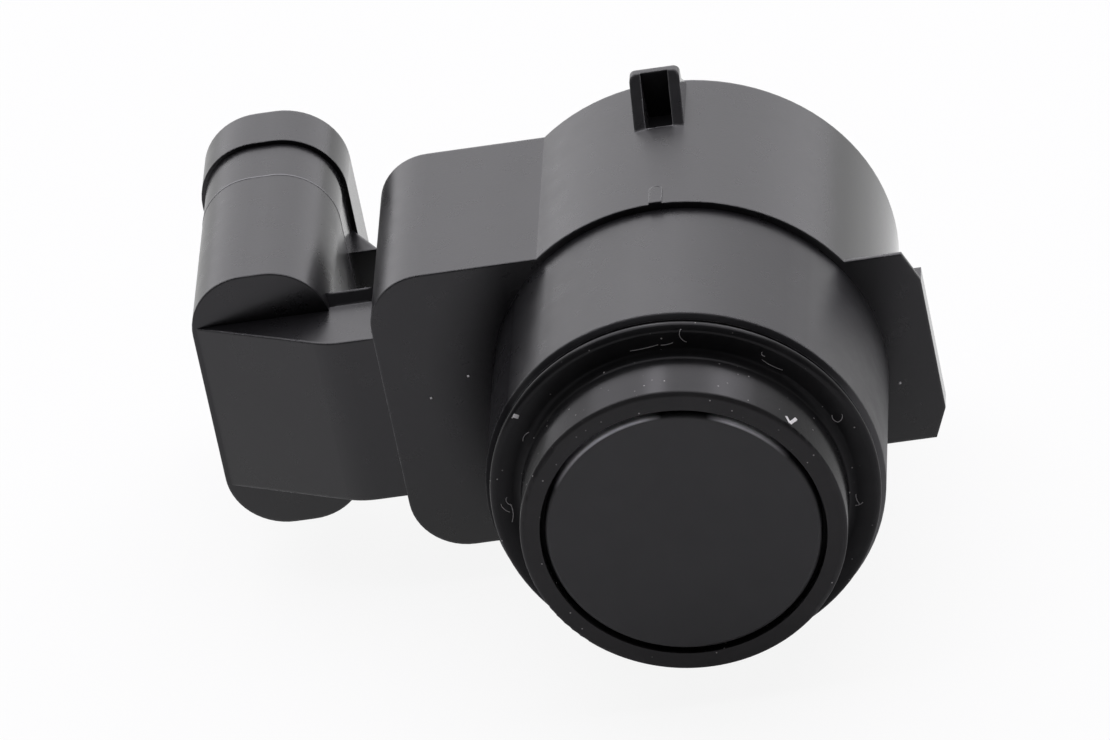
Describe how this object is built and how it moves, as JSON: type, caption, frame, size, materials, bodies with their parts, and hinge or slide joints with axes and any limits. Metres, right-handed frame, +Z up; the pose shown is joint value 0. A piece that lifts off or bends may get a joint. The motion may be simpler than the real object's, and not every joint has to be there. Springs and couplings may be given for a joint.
{
  "type": "parking sensor",
  "caption": "Ultrasonic parking sensor: black barrel with a round membrane in a silicone ring, a side block with a plug tube, a tab and a retaining lug.",
  "frame": {"origin": "on the sensor axis, in the plane of the shoulder where the wider rear barrel starts", "axes": "the membrane faces -Y along the sensor axis, +X points away from the plug tube, +Z is up through the lug"},
  "size_m": [0.0416, 0.0373, 0.0251],
  "materials": {
    "housing_plastic": "fine satin moulded grain",
    "silicone": "semi-gloss moulded silicone",
    "membrane_lacquer": "matt lacquer on aluminium",
    "piezo_ceramic": "sintered ceramic",
    "damping_foam": "soft silicone foam",
    "copper": "bare copper",
    "board": "solder mask",
    "chip_case": "moulded chip case",
    "ferrite": "ferrite",
    "capacitor_can": "drawn can",
    "capacitor_ceramic": "fired ceramic chip",
    "tinned_terminal": "tinned strip"
  },
  "bodies": {
    "root": {"housing": "housing_plastic", "rear_cover": "housing_plastic", "decoupling_ring": "silicone", "transducer_cup": "membrane_lacquer", "piezo_disc": "piezo_ceramic", "damping_pad": "damping_foam", "signal_lead": "copper", "ground_lead": "copper", "circuit_board": "board", "control_chip": "chip_case", "transformer_core": "ferrite", "transformer_winding": "copper", "supply_capacitor": "capacitor_can", "protection_diode": "chip_case", "filter_capacitors": "capacitor_ceramic", "chip_resistors": "chip_case", "upper_terminal": "tinned_terminal", "middle_terminal": "tinned_terminal", "lower_terminal": "tinned_terminal"}
  },
  "joints": []
}
